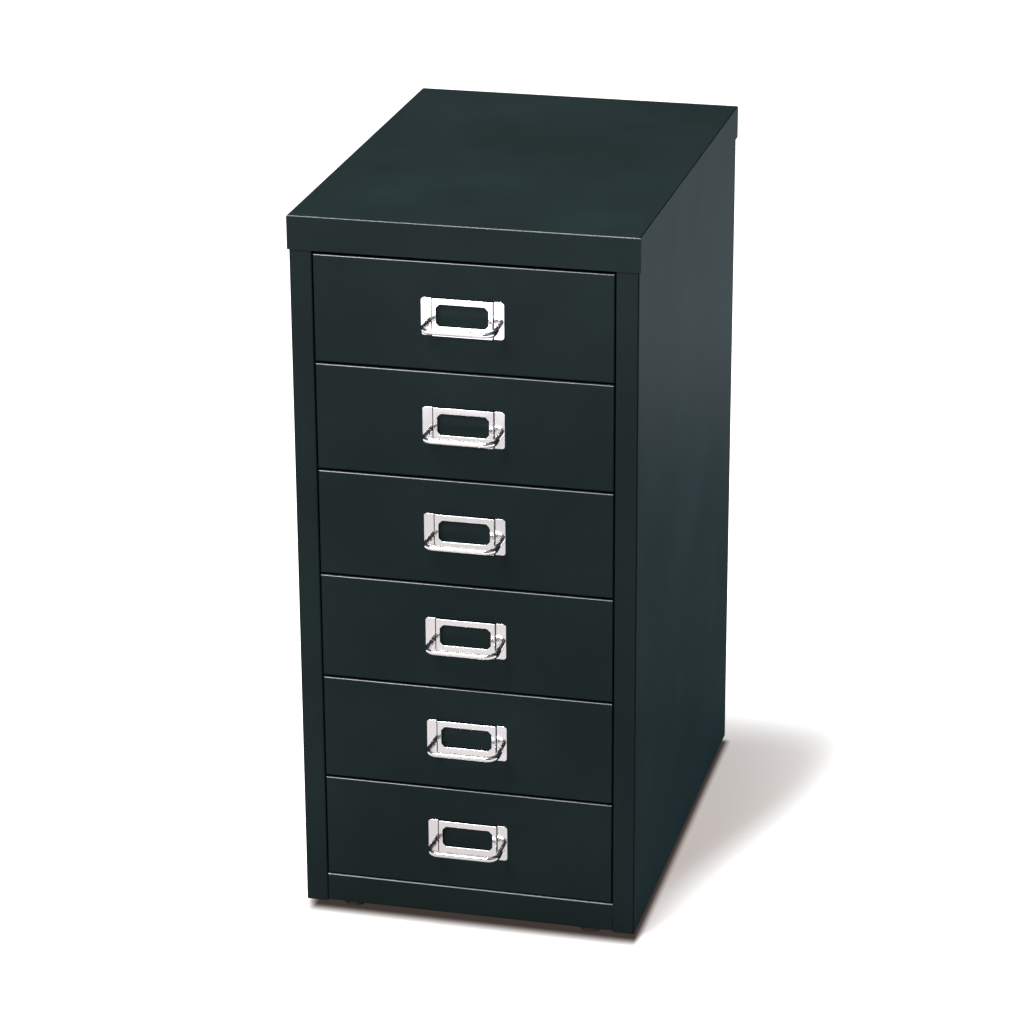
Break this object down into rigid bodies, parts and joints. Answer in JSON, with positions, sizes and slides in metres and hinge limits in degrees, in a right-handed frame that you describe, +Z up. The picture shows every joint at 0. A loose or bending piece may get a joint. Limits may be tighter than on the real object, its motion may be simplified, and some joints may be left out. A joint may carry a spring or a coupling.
{
  "type": "multi-drawer cabinet",
  "caption": "Small free-standing sheet-steel cabinet with shallow drawers, an overlapping top cover, and a chrome label holder and wire handle on each drawer.",
  "frame": {"origin": "on the floor, midway across the width and midway between the handles' fronts and the cover's back", "axes": "+Z up, drawer fronts face -Y, +X to the right seen from the front"},
  "size_m": [0.279, 0.421, 0.593],
  "materials": {
    "body_coat": "semi-gloss black powder coat",
    "inner_coat": "satin black powder coat",
    "chrome": "bright chrome plate",
    "zinc": "zinc plate",
    "nylon": "natural nylon",
    "rubber": "matt moulded rubber"
  },
  "bodies": {
    "cabinet": {"left_side": "body_coat", "right_side": "body_coat", "back_panel": "body_coat", "top_cover": "body_coat", "base_pan": "body_coat", "top_rail": "body_coat", "rear_upright_left": "inner_coat", "rear_upright_right": "inner_coat", "feet": "rubber", "runner_glides": "nylon", "runner_rivets": "zinc", "runner_left_1": "zinc", "runner_left_2": "zinc", "runner_left_3": "zinc", "runner_left_4": "zinc", "runner_left_5": "zinc", "runner_left_6": "zinc", "runner_right_1": "zinc", "runner_right_2": "zinc", "runner_right_3": "zinc", "runner_right_4": "zinc", "runner_right_5": "zinc", "runner_right_6": "zinc"},
    "drawer_1": {"tray_1": "inner_coat", "front_1": "body_coat", "label_holder_1": "chrome", "handle_1": "chrome", "handle_washers_1": "zinc", "drawer_glides_1": "nylon"},
    "drawer_2": {"tray_2": "inner_coat", "front_2": "body_coat", "label_holder_2": "chrome", "handle_2": "chrome", "handle_washers_2": "zinc", "drawer_glides_2": "nylon"},
    "drawer_3": {"tray_3": "inner_coat", "front_3": "body_coat", "label_holder_3": "chrome", "handle_3": "chrome", "handle_washers_3": "zinc", "drawer_glides_3": "nylon"},
    "drawer_4": {"tray_4": "inner_coat", "front_4": "body_coat", "label_holder_4": "chrome", "handle_4": "chrome", "handle_washers_4": "zinc", "drawer_glides_4": "nylon"},
    "drawer_5": {"tray_5": "inner_coat", "front_5": "body_coat", "label_holder_5": "chrome", "handle_5": "chrome", "handle_washers_5": "zinc", "drawer_glides_5": "nylon"},
    "drawer_6": {"tray_6": "inner_coat", "front_6": "body_coat", "label_holder_6": "chrome", "handle_6": "chrome", "handle_washers_6": "zinc", "drawer_glides_6": "nylon"}
  },
  "joints": [
    {"name": "drawer_1_slide", "type": "slide", "parent": "cabinet", "child": "drawer_1", "axis": [0, -1, 0], "range_m": [0, 0.3]},
    {"name": "drawer_2_slide", "type": "slide", "parent": "cabinet", "child": "drawer_2", "axis": [0, -1, 0], "range_m": [0, 0.3]},
    {"name": "drawer_3_slide", "type": "slide", "parent": "cabinet", "child": "drawer_3", "axis": [0, -1, 0], "range_m": [0, 0.3]},
    {"name": "drawer_4_slide", "type": "slide", "parent": "cabinet", "child": "drawer_4", "axis": [0, -1, 0], "range_m": [0, 0.3]},
    {"name": "drawer_5_slide", "type": "slide", "parent": "cabinet", "child": "drawer_5", "axis": [0, -1, 0], "range_m": [0, 0.3]},
    {"name": "drawer_6_slide", "type": "slide", "parent": "cabinet", "child": "drawer_6", "axis": [0, -1, 0], "range_m": [0, 0.3]}
  ]
}
